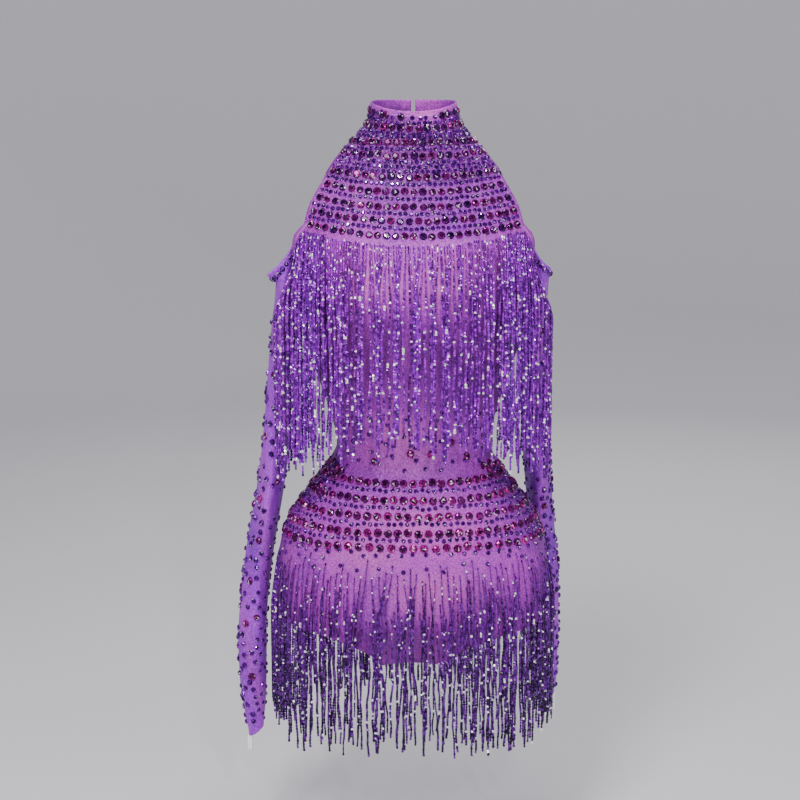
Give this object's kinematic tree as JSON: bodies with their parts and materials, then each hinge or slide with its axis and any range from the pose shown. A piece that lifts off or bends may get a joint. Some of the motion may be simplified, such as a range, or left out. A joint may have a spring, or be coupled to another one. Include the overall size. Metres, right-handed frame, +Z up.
{
  "type": "rhinestone fringe jumpsuit",
  "caption": "High-neck halter stage jumpsuit in lilac stretch mesh, with rows of stones, bead fringe at chest and hips, an open keyhole back and empty sleeves with finger loops",
  "frame": {"origin": "middle of the collar ring at mid-height, where the neck holds the garment up", "axes": "+Z up, -Y the way the front faces, -X the wearer's right"},
  "size_m": [0.4121, 0.256, 0.8248],
  "materials": {
    "mesh_cloth": "lilac stretch mesh set with flat-back stones",
    "bead_fringe": "strings of small cut beads",
    "clear_elastic": "soft translucent elastic",
    "hook_metal": "plated flat hooks"
  },
  "bodies": {
    "root": {"collar": "mesh_cloth", "front": "mesh_cloth", "back_left": "mesh_cloth", "back_right": "mesh_cloth", "gusset": "mesh_cloth", "sleeve_right": "mesh_cloth", "sleeve_left": "mesh_cloth", "finger_loop_right": "clear_elastic", "finger_loop_left": "clear_elastic", "chest_fringe": "bead_fringe", "hip_fringe_front": "bead_fringe", "hip_fringe_back": "bead_fringe", "nape_hook_upper": "hook_metal", "nape_hook_lower": "hook_metal"}
  },
  "joints": []
}
